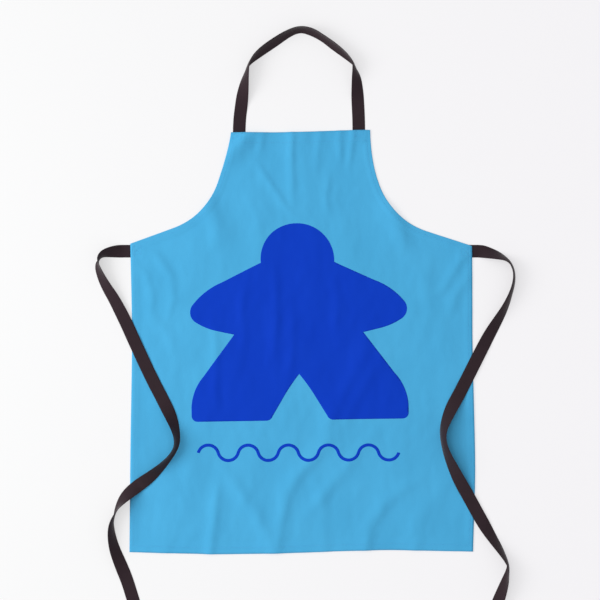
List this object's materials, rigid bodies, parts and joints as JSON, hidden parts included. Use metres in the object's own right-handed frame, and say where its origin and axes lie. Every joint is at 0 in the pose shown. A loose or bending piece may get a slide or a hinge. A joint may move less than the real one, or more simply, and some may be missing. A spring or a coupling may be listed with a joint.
{
  "type": "bib apron",
  "caption": "Bib apron laid flat: hemmed cloth panel with a printed pawn figure, a woven-tape neck strap and long waist ties.",
  "frame": {"origin": "under the middle of the panel, on the surface that the apron lies on", "axes": "+Z out of the printed front, +Y from the skirt towards the neck strap, +X to the right as seen from the front"},
  "size_m": [0.8273, 1.2594, 0.0255],
  "materials": {
    "blue_cloth": "plain-woven cotton, sky blue, matt",
    "print_ink": "screen-printed royal blue ink, matt",
    "dark_tape": "woven twill tape, near-black brown",
    "blue_thread": "spun sewing thread, tone on tone",
    "dark_thread": "spun sewing thread, near black"
  },
  "bodies": {
    "root": {"body_panel": "blue_cloth", "pawn_print": "print_ink", "wave_print": "print_ink", "top_hem": "blue_cloth", "bottom_hem": "blue_cloth", "left_side_hem": "blue_cloth", "right_side_hem": "blue_cloth", "left_armhole_facing": "blue_cloth", "right_armhole_facing": "blue_cloth", "top_hem_thread": "blue_thread", "bottom_hem_thread": "blue_thread", "left_side_thread": "blue_thread", "right_side_thread": "blue_thread", "left_armhole_thread": "blue_thread", "right_armhole_thread": "blue_thread", "left_strap_stitch": "blue_thread", "right_strap_stitch": "blue_thread", "left_tie_stitch": "blue_thread", "right_tie_stitch": "blue_thread", "neck_strap": "dark_tape", "left_tie": "dark_tape", "right_tie": "dark_tape", "left_tie_end_fold": "dark_tape", "right_tie_end_fold": "dark_tape", "left_tie_end_thread": "dark_thread", "right_tie_end_thread": "dark_thread"}
  },
  "joints": []
}
